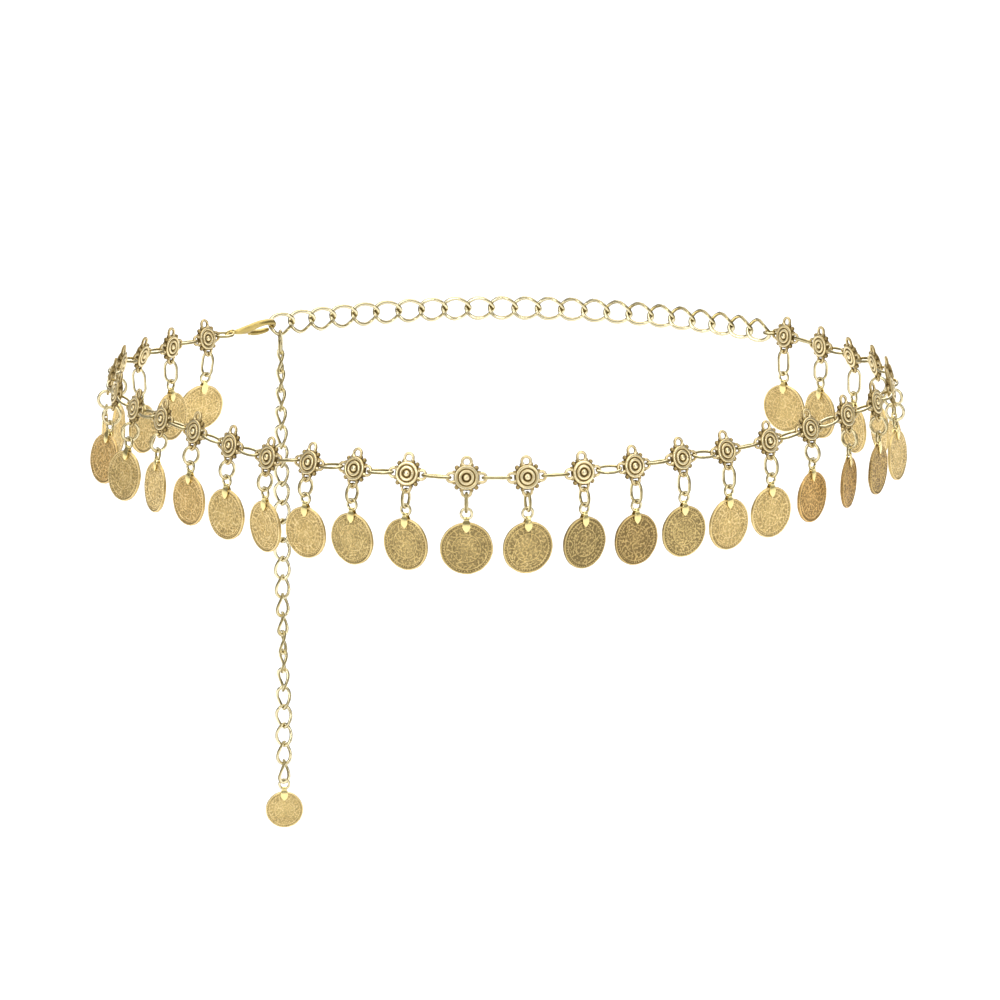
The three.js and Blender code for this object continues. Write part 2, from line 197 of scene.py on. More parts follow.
def stamped(template, matrix):
    """A copy of a template with its own mesh, put in place."""
    mesh = template.data.copy()
    mesh.transform(matrix)
    if matrix.determinant() < 0:
        mesh.flip_normals()
    copy = bpy.data.objects.new("stamp", mesh)
    bpy.context.scene.collection.objects.link(copy)
    return copy


def joined(name, parts):
    """Joins parts into one object."""
    take(parts[0])
    for part in parts:
        part.select_set(True)
    if len(parts) > 1:
        bpy.ops.object.join()
    whole = bpy.context.active_object
    whole.name = whole.data.name = name
    return whole


# %% [markdown]
# ## Metals
# A cast in antique gold is plated bright, dipped in a dark bath, and polished again, so the
# hollows stay brown and the ridges shine. One could paint that by hand. Here each template
# carries a number for each point, 0 in a hollow and 1 on a ridge, and the shader breaks it up
# with noise. On wire rings and links that number is painted shade on the rims and a painted
# highlight on the faces. A small class lets the shader's sums be written as plain expressions.


# %% A small language for shaders
class Wire:
    """One socket of a shader, to be used in sums."""

    def __init__(self, finish, socket):
        self.finish, self.socket = finish, socket

    def math(self, operation, first, second):
        settings = {"operation": operation}
        return self.finish.add("ShaderNodeMath", settings, {0: first, 1: second})

    def __add__(self, other):
        return self.math("ADD", self, other)

    def __mul__(self, other):
        return self.math("MULTIPLY", self, other)

    def __sub__(self, other):
        return self.math("SUBTRACT", self, other)

    def __rsub__(self, other):
        return self.math("SUBTRACT", other, self)


class Finish:
    """A material or a world whose nodes are added one at a time."""

    def __init__(self, owner, shader="Principled BSDF"):
        owner.use_nodes = True
        self.owner = owner
        self.tree = owner.node_tree
        self.shader = self.tree.nodes[shader]

    def put(self, socket, value):
        if isinstance(value, Wire):
            self.tree.links.new(value.socket, socket)
        else:
            socket.default_value = value

    def add(self, kind, settings=None, inputs=None, output=0):
        node = self.tree.nodes.new(kind)
        for name, value in (settings or {}).items():
            if name == "stops":
                self.set_stops(node.color_ramp, value)
            else:
                setattr(node, name, value)
        for key, value in (inputs or {}).items():
            self.put(node.inputs[key], value)
        return Wire(self, node.outputs[output])

    def set_stops(self, ramp, stops):
        while len(ramp.elements) < len(stops):
            ramp.elements.new(1)
        for element, (position, color) in zip(ramp.elements, stops):
            element.position = position
            element.color = (*color, 1)

    def value_of(self, name):
        return self.add("ShaderNodeAttribute", {"attribute_name": name}, output="Fac")

    def noise(self, per_mm, detail=2.0, roughness=0.5):
        place = self.add("ShaderNodeTexCoord", output="Object")
        inputs = {"Vector": place, "Scale": per_mm / MM, "Detail": detail, "Roughness": roughness}
        return self.add("ShaderNodeTexNoise", None, inputs, output="Fac")

    def blend(self, share, first, second, kind="MIX"):
        settings = {"data_type": "RGBA", "blend_type": kind}
        return self.add("ShaderNodeMix", settings, {0: share, 6: first, 7: second}, output=2)


# %% [markdown]
# The five finishes differ in their dark and bright colours, in how dull they are, and in how
# strongly noise breaks them up. On castings the dark colour is the hollow and the bright one the
# ridge; on wire the dark colour is painted rim shade and the bright one a painted face highlight.
# One function with a row of named values for each keeps them of one family, as pieces from one
# plating bath are.


# %% The finishes
FINE_PER_MM, BROAD_PER_MM = 2.2, 0.35


def gold(name, stops, dull, shiny, speckle, blotch, grain, tinted=(1.0, 0.62, 0.3)):
    """stops: colours from dark to bright, from a hollow to a ridge, and on wire from the painted
    shade of its rims to the painted highlight of its faces. speckle and blotch: how far fine and
    broad noise shift them. grain: depth of the fine bump, in mm. tinted: what the attribute tone
    multiplies by."""
    finish = Finish(bpy.data.materials.new(name))
    # One number per point: patina from hollow to ridge on castings, and painted rim shade to a painted face
    # highlight on wire rings and links.
    worn = finish.value_of("worn")
    fine = finish.noise(FINE_PER_MM, detail=3, roughness=0.6)
    broad = finish.noise(BROAD_PER_MM)
    mask = worn + (fine - 0.5) * speckle + (broad - 0.5) * blotch
    color = finish.add("ShaderNodeValToRGB", {"stops": stops}, {0: mask})
    toned = finish.blend(1.0, color, (*tinted, 1), kind="MULTIPLY")
    finish.put(finish.shader.inputs["Base Color"], finish.blend(finish.value_of("tone"), color, toned))
    finish.put(finish.shader.inputs["Roughness"], dull - mask * (dull - shiny))
    finish.put(finish.shader.inputs["Metallic"], 1.0)
    bump = finish.add(
        "ShaderNodeBump", None,
        {"Strength": 1.0, "Distance": grain * MM, "Height": fine}, output="Normal",
    )
    finish.put(finish.shader.inputs["Normal"], bump)
    return finish.owner


antique_gold = gold(
    "antique_gold",
    stops=[(0.0, (0.095, 0.062, 0.02)), (0.4, (0.38, 0.275, 0.11)), (0.75, (0.77, 0.61, 0.31)),
           (1.0, (0.95, 0.83, 0.53))],
    dull=0.6, shiny=0.28, speckle=0.6, blotch=0.3, grain=0.05,
)
coin_gold = gold(
    "coin_gold",
    stops=[(0.0, (0.25, 0.185, 0.08)), (0.3, (0.52, 0.39, 0.165)), (0.65, (0.78, 0.6, 0.255)),
           (1.0, (0.96, 0.8, 0.45))],
    dull=0.52, shiny=0.34, speckle=1.1, blotch=0.45, grain=0.07, tinted=(1.0, 0.77, 0.58),
)
ring_gold = gold(
    "ring_gold",
    stops=[(0.0, (0.13, 0.1, 0.04)), (0.5, (0.46, 0.38, 0.18)), (1.0, (0.92, 0.82, 0.54))],
    dull=0.42, shiny=0.18, speckle=0.5, blotch=0.5, grain=0.02,
)
pale_gold = gold(
    "pale_gold",
    stops=[(0.0, (0.14, 0.11, 0.045)), (0.5, (0.47, 0.39, 0.19)), (1.0, (0.93, 0.84, 0.57))],
    dull=0.3, shiny=0.12, speckle=0.3, blotch=0.4, grain=0.008,
)
bright_gold = gold(
    "bright_gold",
    stops=[(0.0, (0.2, 0.145, 0.045)), (0.5, (0.68, 0.52, 0.18)), (1.0, (0.98, 0.83, 0.38))],
    dull=0.34, shiny=0.18, speckle=0.25, blotch=0.3, grain=0.015,
)
print("finishes:", [material.name for material in bpy.data.materials if material.users])


def finished(piece, material, worn=None, tone=0.0):
    """Gives a template its finish, its number for patina and painted shade, and its tone."""
    piece.data.materials.clear()
    piece.data.materials.append(material)
    if worn is not None:
        set_value(piece, "worn", worn)
    set_value(piece, "tone", tone)
    return piece


# %% [markdown]
# ## Where everything is
# The loop is an oval eased by small waves, the same sums as in the CAD. A joint of the packed
# model gives each drop's hinge and the belt's direction there, so the rosette above it is found
# from those: its plate's centre lies on the loop, and its tilt follows from how far the hinge
# has moved outwards.

# %% The loop and the stations
HALF_WIDTH, HALF_DEPTH = 125.5, 117.2
WIDER_BEHIND, ROUNDER_BEHIND, SQUARER_SIDES = 18.7, 10.3, 9
LEFT_RIGHT, FRONT_BACK, THIRD, CORNER = 2, 1.5, 1.5, 0.5
ROSETTES, PITCH, SHIFT_RIGHT = 30, 19, 2.5
HINGE_DOWN = 5.9
LOOP_STEPS = 4000

turn = np.linspace(0, 2 * math.pi, LOOP_STEPS + 1) - math.pi / 2
loop_x = (HALF_WIDTH * np.cos(turn) + WIDER_BEHIND * np.sin(2 * turn) + LEFT_RIGHT * np.cos(2 * turn)
          - THIRD * np.cos(3 * turn) - CORNER * np.sin(3 * turn))
loop_y = (HALF_DEPTH * np.sin(turn) - ROUNDER_BEHIND * np.cos(2 * turn) - FRONT_BACK * np.sin(2 * turn)
          - THIRD * np.cos(3 * turn) - SQUARER_SIDES * np.sin(3 * turn))
loop_far = np.concatenate([[0], np.cumsum(np.hypot(np.diff(loop_x), np.diff(loop_y)))])
LOOP_LENGTH = loop_far[-1]


def on_loop(far):
    """The point of the loop that many millimetres to the right of its front."""
    far = far % LOOP_LENGTH
    return Vector((np.interp(far, loop_far, loop_x), np.interp(far, loop_far, loop_y), 0))


def axes(middle, x, y, z):
    """The matrix of a place with these three directions."""
    matrix = Matrix((x, y, z)).transposed().to_4x4()
    matrix.translation = middle
    return matrix


def along(far, lift):
    """A place on the loop: X along the belt, Y inwards, Z up."""
    step = 0.05
    direction = (on_loop(far + step) - on_loop(far - step)).normalized()
    return axes(on_loop(far) + lift * UP, direction, UP.cross(direction), UP)


def station_far(index):
    return (index - (ROSETTES - 1) / 2) * PITCH + SHIFT_RIGHT


Station = namedtuple("Station", "name hinge tangent inward lift matrix")


def read_station(index):
    name = f"drop_{index + 1:02d}"
    joint = joints[name + "_swing"]
    hinge = Vector(joint["pos_m"]) / MM
    tangent = -Vector(joint["axis"]).normalized()
    inward = UP.cross(tangent)
    outwards = (on_loop(station_far(index)) - hinge).dot(inward)
    tilt = math.asin(max(-1, min(1, outwards / HINGE_DOWN)))
    lift = hinge.z + HINGE_DOWN * math.cos(tilt)
    middle = on_loop(station_far(index)) + lift * UP
    place = axes(middle, tangent, inward, UP) @ Matrix.Rotation(-tilt, 4, "X")
    return Station(name, hinge, tangent, inward, lift, place)


stations = [read_station(index) for index in range(ROSETTES)]
print("loop", round(LOOP_LENGTH, 1), "mm; lifts", [round(place.lift, 1) for place in stations])

# %% [markdown]
# ## Rosettes
# Each rosette is a small zinc casting with the same rings, grooves and centre boss on both faces.
# It could be turned on a lathe with Screw, but growing the flat face of a disc ring by ring shows
# how inset and extrude shape such a relief. Each row of the table is a ring: how far out it is,
# how high, and how worn the gold is there.

# %% Grow a relief from a face
Row = namedtuple("Row", "radius height worn")
SQUARE_ON = 0.9


def grow_rows(rows, side):
    """From a selected round face: extrudes it once for each row, to its radius and its height."""
    for before, row in zip(rows, rows[1:]):
        share = row.radius / before.radius
        bpy.ops.mesh.extrude_region()
        bpy.ops.transform.resize(value=(share, 1, share), center_override=(0, 0, 0))
        bpy.ops.transform.translate(value=(0, side * (row.height - before.height), 0))


def disc_with_relief(name, rows, corners):
    """A disc in the XZ plane with the same relief on both faces, closed at its middle."""
    bpy.ops.mesh.primitive_cylinder_add(
        vertices=corners, radius=rows[0].radius, depth=2 * rows[0].height,
        rotation=(math.pi / 2, 0, 0),
    )
    disc = just_added(name)
    for side in (-1, 1):
        open_with(disc, "faces", lambda middle, normal: normal.y * side > SQUARE_ON)
        grow_rows(rows, side)
        bpy.ops.mesh.merge(type="CENTER")
        close_edit()
    places = points_of(disc)
    radius, height = np.hypot(places[:, 0], places[:, 2]), np.abs(places[:, 1])
    table = np.array(rows)
    off = np.hypot(radius[:, None] - table[:, 0], height[:, None] - table[:, 1])
    set_value(disc, "worn", table[np.argmin(off, axis=1), 2])
    return disc


ROSETTE_ROWS = [
    Row(4.1, 0.3, 0.1), Row(3.95, 0.42, 0.0), Row(3.88, 0.55, 0.1), Row(3.75, 0.9, 0.65),
    Row(3.5, 1.02, 1.0), Row(3.15, 1.0, 0.9), Row(2.88, 0.92, 0.55), Row(2.7, 0.74, 0.05),
    Row(2.55, 0.76, 0.1), Row(2.4, 1.0, 0.6), Row(2.15, 1.16, 1.0), Row(1.8, 1.16, 0.9),
    Row(1.5, 0.95, 0.4), Row(1.35, 0.72, 0.05), Row(1.15, 0.72, 0.05), Row(0.98, 0.98, 0.45),
    Row(0.78, 1.24, 0.9), Row(0.45, 1.4, 1.0), Row(0.2, 1.45, 1.0),
]
plate = disc_with_relief("plate", ROSETTE_ROWS, corners=40)
print("rosette plate:", len(plate.data.polygons), "faces")

# %% [markdown]
# Four eyelets and twelve small beads stand round the plate. An eyelet starts as a torus and is
# made a little thicker where it meets the plate. A bead is a ball pressed slightly flatter.

# %% Eyelets and beads
EYELET_WIRE_OUT = {"right": 6.15, "top": 6.35, "left": 6.15, "bottom": HINGE_DOWN}
EYELET_MIDDLE, EYELET_WIRE = 1.45, 0.95
EYELET_FOOT, FOOT_GROWS = -0.8, (1.15, 1.25, 1.2)
BEAD_FLATTER = 0.9
EYELET_WORN, EYELET_WORN_OUT = 0.1, 1.75
BEAD_WORN, BEAD_WORN_OUT = 0.05, 0.55
Bead = namedtuple("Bead", "aside out radius")
BEADS = [Bead(-23, 4.15, 0.7), Bead(0, 4.3, 0.78), Bead(23, 4.15, 0.7)]

bpy.ops.mesh.primitive_torus_add(
    major_radius=EYELET_MIDDLE, minor_radius=EYELET_WIRE / 2, major_segments=20, minor_segments=8,
    rotation=(math.pi / 2, 0, 0),
)
eyelet = just_added("eyelet")
resize_points(eyelet, lambda place: place.x < EYELET_FOOT, FOOT_GROWS, about=(-EYELET_MIDDLE, 0, 0))
out = np.abs(points_of(eyelet)[:, 1])
finished(eyelet, antique_gold, worn=EYELET_WORN + EYELET_WORN_OUT * out)

bpy.ops.mesh.primitive_uv_sphere_add(segments=8, ring_count=5, radius=1)
bead = just_added("bead")
resize_points(bead, everywhere, (1, BEAD_FLATTER, 1))
out = np.abs(points_of(bead)[:, 1])
finished(bead, antique_gold, worn=BEAD_WORN + BEAD_WORN_OUT * out)

finished(plate, antique_gold)
rosette_parts = [plate]
for quarter, wire_out in enumerate(EYELET_WIRE_OUT.values()):
    around = Matrix.Rotation(-quarter * math.pi / 2, 4, "Y")
    rosette_parts.append(stamped(eyelet, around @ Matrix.Translation((wire_out - EYELET_MIDDLE, 0, 0))))
    for aside, bead_out, radius in BEADS:
        turned = Matrix.Rotation(-(quarter + 0.5) * math.pi / 2 - math.radians(aside), 4, "Y")
        placed = turned @ Matrix.Translation((bead_out, 0, 0)) @ Matrix.Scale(radius, 4)
        rosette_parts.append(stamped(bead, placed))
rosette = joined("rosette", rosette_parts)
smooth(rosette, angle=50)
print("rosette:", len(rosette.data.polygons), "faces, width", round(rosette.dimensions.x, 2), "mm")

# %% [markdown]
# ## Rings and links
# Jewellers bend links from wire, with a fine seam where the ends meet. A torus is drawn out along
# X into an oval, and its wire stays round. A narrower ring of its mesh gives the seam, and the
# Twist deform turns an oval into a curb link that lies flat against its neighbours. A point that
# is less than a hair from a plane counts as lying on it.


# %% Bend wire into rings
LINK_STEPS, WIRE_SIDES, SEAM_THINNER = 24, 8, 0.86
# How dark the painted shade on a link's rims is, and how far the painted highlight rises towards its faces.
LINK_RIM_SHADE, LINK_FACE_HIGHLIGHT = 0.05, 0.9
HAIR = 0.01


def wire_link(name, length, width, wire, material, twist=0):
    """An oval in the XZ plane, its long way along X, its sizes taken over the wire's middle."""
    radius = width / 2
    bpy.ops.mesh.primitive_torus_add(
        major_radius=radius, minor_radius=wire / 2, major_segments=LINK_STEPS,
        minor_segments=WIRE_SIDES, rotation=(math.pi / 2, 0, 0),
    )
    link = just_added(name)
    resize_points(
        link, lambda place: place.z > radius - wire and abs(place.x) < HAIR,
        (1, SEAM_THINNER, SEAM_THINNER), about=(0, 0, radius),
    )
    places = points_of(link)
    middle_x = radius * places[:, 0] / np.hypot(places[:, 0], places[:, 2])
    places[:, 0] += middle_x * (length / width - 1)
    link.data.vertices.foreach_set("co", places.ravel())
    # Darker on the wire's rims in the link's plane and lighter on its two faces: painted shade on the rims,
    # a painted highlight on the faces.
    out = np.abs(places[:, 1]) / (wire / 2)
    if twist:
        settings = {"deform_method": "TWIST", "deform_axis": "X", "angle": math.radians(twist)}
        add_modifier(link, "SIMPLE_DEFORM", **settings)
    finished(link, material, worn=LINK_RIM_SHADE + LINK_FACE_HIGHLIGHT * out)
    smooth(link, angle=60)
    return link


RING_ACROSS, LOWER_ACROSS, END_RING_ACROSS = 5.8, 3.45, 4.3
RING_WIRE, LOWER_WIRE = 1.05, 0.9
CONNECTOR_OUT = EYELET_WIRE_OUT["right"] - (EYELET_WIRE + RING_WIRE) / 2
CONNECTOR_ACROSS = 3.4
PULLED_NARROWER = 0.5


def pulled_ring(longer):
    """The upper ring, its lower half pulled down by that much, which makes it narrower."""
    ring = wire_link("upper_ring", RING_ACROSS, RING_ACROSS, RING_WIRE, ring_gold)
    ring.data.transform(Matrix.Rotation(math.pi / 2, 4, "Y"))
    if longer:
        open_with(ring, "points", lambda place: place.z < -HAIR)
        bpy.ops.transform.translate(value=(0, 0, -longer))
        close_edit()
        narrower = 1 - PULLED_NARROWER * longer / (RING_ACROSS + RING_WIRE)
        resize_points(ring, everywhere, (narrower, 1, 1))
    return ring


lower_ring = wire_link("lower_ring", LOWER_ACROSS, LOWER_ACROSS, LOWER_WIRE, ring_gold)
connector = wire_link("connector", PITCH - 2 * CONNECTOR_OUT, CONNECTOR_ACROSS, RING_WIRE, ring_gold)
print("connector length", round(connector.dimensions.x, 2), "mm")

# %% [markdown]
# ## Coins
# The coins are cast with a raised rim, two thin border rings, a ring of tiny pellets and a dense
# ornament of scrolls and leaves. Each motif is a small cross-section that Spin carries round one
# arc after another. Each variant of the coin has its motifs at other places, so that neighbours
# differ as real castings do.


# %% Motifs made by spinning a section
Arc = namedtuple("Arc", "turn radius grow")

MOTIFS = {
    "double_scroll": [Arc(-230, 0.34, 1.3), Arc(-70, 1.0, 1.1), Arc(80, 1.0, 0.9), Arc(230, 0.34, 0.7)],
    "hook": [Arc(250, 0.38, 1.3), Arc(60, 1.3, 0.9), Arc(-60, 0.9, 0.5)],
    "wave": [Arc(70, 0.6, 1.2), Arc(-120, 0.55, 1.0), Arc(120, 0.5, 0.9), Arc(-70, 0.5, 0.5)],
    "curl": [Arc(320, 0.45, 1.0), Arc(40, 1.2, 0.5)],
    "leaf": [Arc(35, 0.9, 1.9), Arc(35, 1.1, 0.35)],
}
MOTIF_WIDTH, MOTIF_HEIGHT, MOTIF_TOP = 0.7, 0.3, 0.5
TOP_WORN, FOOT_WORN = 0.8, 0.3
DEGREES_PER_STEP = 60
PELLET_FLATTER = 0.8


def spun_motif(name, arcs):
    """Sweeps a small section along arcs in the XZ plane, its raised side towards -Y."""
    bpy.ops.mesh.primitive_plane_add(size=1, rotation=(0, math.pi / 2, 0))
    motif = just_added(name)
    resize_points(motif, everywhere, (1, MOTIF_HEIGHT, MOTIF_WIDTH))
    resize_points(motif, lambda place: place.y < 0, (1, 1, MOTIF_TOP))
    open_with(motif, "faces", everywhere)
    place, heading = Vector((0, 0, 0)), 0.0
    for arc in arcs:
        side = math.copysign(1, arc.turn)
        left = Vector((-math.sin(heading), 0, math.cos(heading)))
        centre = place + side * arc.radius * left
        swing = math.radians(arc.turn)
        steps = max(1, round(abs(arc.turn) / DEGREES_PER_STEP))
        bpy.ops.mesh.spin(steps=steps, angle=-swing, center=centre, axis=(0, -1, 0))
        heading += swing
        place = centre - side * arc.radius * Vector((-math.sin(heading), 0, math.cos(heading)))
        bpy.ops.transform.resize(value=(arc.grow,) * 3, center_override=place)
    close_edit()
    right_way_out(motif)
    middle = points_of(motif).mean(axis=0)
    motif.data.transform(Matrix.Translation((-middle[0], 0, -middle[2])))
    worn = np.where(points_of(motif)[:, 1] < 0, TOP_WORN, FOOT_WORN)
    return finished(motif, coin_gold, worn=worn)


motifs = [spun_motif(name, arcs) for name, arcs in MOTIFS.items()]
bpy.ops.mesh.primitive_ico_sphere_add(subdivisions=1, radius=1)
pellet = just_added("pellet")
resize_points(pellet, everywhere, (1, PELLET_FLATTER, 1))
finished(pellet, coin_gold, worn=0.9)
print("motif faces:", [len(motif.data.polygons) for motif in motifs])

# %% [markdown]
# The blank coin is a disc grown ring by ring like the rosette. Its cast face isn't true, so a
# Displace modifier with a cloudy texture dents it slightly, and each variant has its ornament
# struck a little off-centre.

# %% Coin blanks and variants
COIN_ROWS = [
    Row(8.3, 0.3, 0.4), Row(8.22, 0.46, 0.75), Row(8.1, 0.53, 0.9), Row(7.9, 0.52, 0.75),
    Row(7.76, 0.42, 0.3), Row(7.62, 0.38, 0.25), Row(6.98, 0.38, 0.3), Row(6.9, 0.48, 0.8),
    Row(6.72, 0.48, 0.8), Row(6.64, 0.38, 0.32), Row(4.6, 0.38, 0.32), Row(4.52, 0.48, 0.8),
    Row(4.34, 0.48, 0.8), Row(4.26, 0.38, 0.35), Row(3.2, 0.38, 0.4), Row(1.6, 0.38, 0.45),
]
FIELD_HEIGHT = 0.38
PELLETS, PELLET_RING, PELLET_SIZE = 52, 7.3, 0.21
PELLET_SIZES, MOTIF_SIZES = (0.85, 1.15), (0.85, 1.2)
ROUND_ASTRAY, OUT_ASTRAY, STRUCK_ASTRAY = 0.2, 0.12, 0.25
FULL_SPIN = 6.3
Band = namedtuple("Band", "ring count mean_size")
BANDS = [
    Band(6.15, 23, 0.56), Band(5.2, 20, 0.56), Band(3.75, 15, 0.56), Band(2.7, 11, 0.56),
    Band(1.6, 7, 0.56), Band(0.5, 3, 0.6),
]
TAIL_COIN = 6.6
VARIANTS, FIRST_SEED, TAIL_SEED = 6, 11, 31


def turned_out(angle, out, spin, size, mirrored, sink):
    """The place of an ornament: out from the middle at an angle, itself spun, sized, mirrored."""
    flip = Matrix.Scale(-1, 4, (0, 0, 1)) if mirrored else Matrix.Identity(4)
    return (
        Matrix.Rotation(-angle, 4, "Y") @ Matrix.Translation((out, -sink, 0))
        @ Matrix.Rotation(-spin, 4, "Y") @ Matrix.Scale(size, 4) @ flip
    )


def ornament(scale, seed):
    """The motifs of one struck face, which looks towards -Y."""
    chance = random.Random(seed)
    stamps = []
    for index in range(PELLETS):
        angle = 2 * math.pi * index / PELLETS
        size = PELLET_SIZE * scale * chance.uniform(*PELLET_SIZES)
        place = turned_out(angle, PELLET_RING * scale, 0, size, False, FIELD_HEIGHT)
        stamps.append(stamped(pellet, place))
    for ring, count, mean_size in BANDS:
        for index in range(count):
            angle = 2 * math.pi * (index + chance.uniform(-ROUND_ASTRAY, ROUND_ASTRAY)) / count
            motif = motifs[chance.randrange(len(motifs))]
            size = mean_size * scale * chance.uniform(*MOTIF_SIZES)
            out = (ring + chance.uniform(-OUT_ASTRAY, OUT_ASTRAY)) * scale
            mirrored = chance.random() < 0.5
            place = turned_out(angle, out, chance.uniform(0, FULL_SPIN), size, mirrored, FIELD_HEIGHT)
            stamps.append(stamped(motif, place))
    return joined("face", stamps)


clouds = bpy.data.textures.new("clouds", "CLOUDS")
clouds.noise_scale = 3.0


def coin(name, radius, seed):
    """A coin in the XZ plane with its middle at the origin."""
    scale = radius / COIN_ROWS[0].radius
    rows = [Row(row.radius * scale, row.height, row.worn) for row in COIN_ROWS]
    blank = disc_with_relief(name, rows, corners=72)
    finished(blank, coin_gold)
    chance = random.Random(seed)
    faces = []
    for side in (0, 1):
        face = ornament(scale, seed * 2 + side)
        aside = chance.uniform(-STRUCK_ASTRAY, STRUCK_ASTRAY)
        struck = Matrix.Translation((aside, 0, chance.uniform(-STRUCK_ASTRAY, STRUCK_ASTRAY)))
        face.data.transform(Matrix.Rotation(side * math.pi, 4, "Z") @ struck)
        faces.append(face)
    whole = joined(name, [blank, *faces])
    whole.data.transform(Matrix.Rotation(chance.uniform(0, FULL_SPIN), 4, "Y"))
    add_modifier(whole, "DISPLACE", texture=clouds, texture_coords="LOCAL", strength=0.22, mid_level=0.5)
    smooth(whole, angle=35)
    return whole


coins = [
    coin(f"coin_{index}", COIN_ROWS[0].radius, FIRST_SEED + index) for index in range(VARIANTS)
]
tail_coin_blank = coin("small_coin", TAIL_COIN, TAIL_SEED)
print("coin faces:", len(coins[0].data.polygons), "thickness", round(coins[0].dimensions.y, 2))

# %% [markdown]
# ## The bail
# A bail is a strap of thin sheet, folded over the ring and pinched on the coin's edge, with
# pointed ends. It starts as one narrow face over the ring. Its front and back edges are then
# extruded down row by row, and Solidify and Bevel give the sheet its thickness.

# %% Fold a strap over the ring
Leaf = namedtuple("Leaf", "down out width")

BAIL_ROWS = [
    Leaf(0.0, 0.6, 1.5), Leaf(0.5, 0.62, 1.7), Leaf(1.0, 0.68, 2.2), Leaf(1.6, 0.74, 2.5),
    Leaf(2.4, 0.77, 2.5), Leaf(3.1, 0.77, 2.1), Leaf(3.75, 0.75, 1.1), Leaf(4.1, 0.74, 0.3),
]
BAIL_THICK, FOLD_STEPS = 0.3, 8


def folded_bail():
    """A bail whose fold has its middle at the origin, its leaves hanging down on both sides."""
    first = BAIL_ROWS[0]
    bpy.ops.mesh.primitive_plane_add(size=1, rotation=(math.pi / 2, 0, 0))
    bail = just_added("bail")
    open_with(bail, "points", everywhere)
    bpy.ops.transform.resize(value=(first.width, 1, HAIR), center_override=(0, 0, 0))
    bpy.ops.transform.translate(value=(0, -first.out, 0))
    close_edit()
    open_with(bail, "points", lambda place: place.z > 0)
    bpy.ops.mesh.spin(steps=FOLD_STEPS, angle=math.pi, center=(0, 0, 0), axis=(1, 0, 0))
    close_edit()
    for side in (-1, 1):
        open_with(bail, "points", lambda place: place.y * side > 0 and place.z < 0)
        for before, row in zip(BAIL_ROWS, BAIL_ROWS[1:]):
            bpy.ops.mesh.extrude_region()
            bpy.ops.transform.resize(value=(row.width / before.width, 1, 1), center_override=(0, 0, 0))
            shift = (0, side * (row.out - before.out), before.down - row.down)
            bpy.ops.transform.translate(value=shift)
        close_edit()
    right_way_out(bail)
    add_modifier(bail, "SOLIDIFY", thickness=BAIL_THICK, offset=0)
    add_modifier(bail, "BEVEL", width=0.07, segments=2, limit_method="ANGLE")
    finished(bail, bright_gold, worn=0.95)
    smooth(bail, angle=35)
    return bail


bail = folded_bail()
print("bail", [round(size, 2) for size in bail.dimensions], "mm", len(bail.data.polygons), "faces")

# %% [markdown]
# ## Rosettes in place
# Three rosettes and the two ovals between them are one strip, as in the CAD, and a loose oval
# joins each strip to the next. Real ovals lie rolled by chance, so each takes its own roll.

# %% Place the rosettes and the ovals between them
STRIP = 3
ROLLS = [5, -6, -13, -10, 27, -5, 22, -10, 0, 15, -5, 10]
TO_METRES = Matrix.Scale(MM, 4)


def oval_after(index):
    """The oval that links a rosette to the next, with its own roll."""
    start = stations[index].matrix @ Vector((CONNECTOR_OUT, 0, 0))
    end = stations[index + 1].matrix @ Vector((-CONNECTOR_OUT, 0, 0))
    x = (end - start).normalized()
    y = UP.cross(x).normalized()
    flat = axes((start + end) / 2, x, y, x.cross(y))
    stretch = Matrix.Scale((end - start).length / (PITCH - 2 * CONNECTOR_OUT), 4, (1, 0, 0))
    roll = math.pi / 2 + math.radians(ROLLS[index % len(ROLLS)])
    return stamped(connector, flat @ Matrix.Rotation(roll, 4, "X") @ stretch)


def place_piece(name, parts, body, nodes):
    """Joins placed parts, takes them from millimetres to metres, and ties them to the CAD."""
    piece = joined(name, parts)
    piece.data.transform(TO_METRES)
    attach(piece, body)
    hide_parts(*nodes)
    return piece


for first in range(0, ROSETTES, STRIP):
    number = first // STRIP + 1
    parts = []
    for index in range(first, first + STRIP):
        parts.append(stamped(rosette, stations[index].matrix))
        if index < first + STRIP - 1:
            parts.append(oval_after(index))
    place_piece(f"rosette_strip_{number:02d}", parts, "root", [f"rosettes_{number:02d}"])

parts = [oval_after(index) for index in range(STRIP - 1, ROSETTES - 1, STRIP)]
loose_nodes = [f"connector_{number:02d}" for number in range(1, len(parts) + 1)]
place_piece("loose_ovals", parts, "root", loose_nodes)
print("strips placed:", ROSETTES // STRIP, "loose ovals:", len(loose_nodes))

# %% [markdown]
# ## Drops
# Each drop is an upper ring through the rosette's lowest eyelet, a lower ring, the bail and the
# coin. Which way a coin looks and how it leans is read from its CAD solid: the largest face gives
# its direction, and the middle of all faces that lie parallel gives the coin's centre.

# %% Read the drops from the CAD and build them
COIN_DOWN, COIN_TURN = 16.6, 2.4
PARALLEL = 0.99
UPPER_RING_TOP = (EYELET_WIRE + RING_WIRE) / 2
LOWER_RING_DOWN = RING_ACROSS - UPPER_RING_TOP - (RING_WIRE + LOWER_WIRE - LOWER_ACROSS) / 2
BAIL_FOLD_DOWN = LOWER_RING_DOWN + LOWER_ACROSS / 2
Drop = namedtuple("Drop", "place longer")


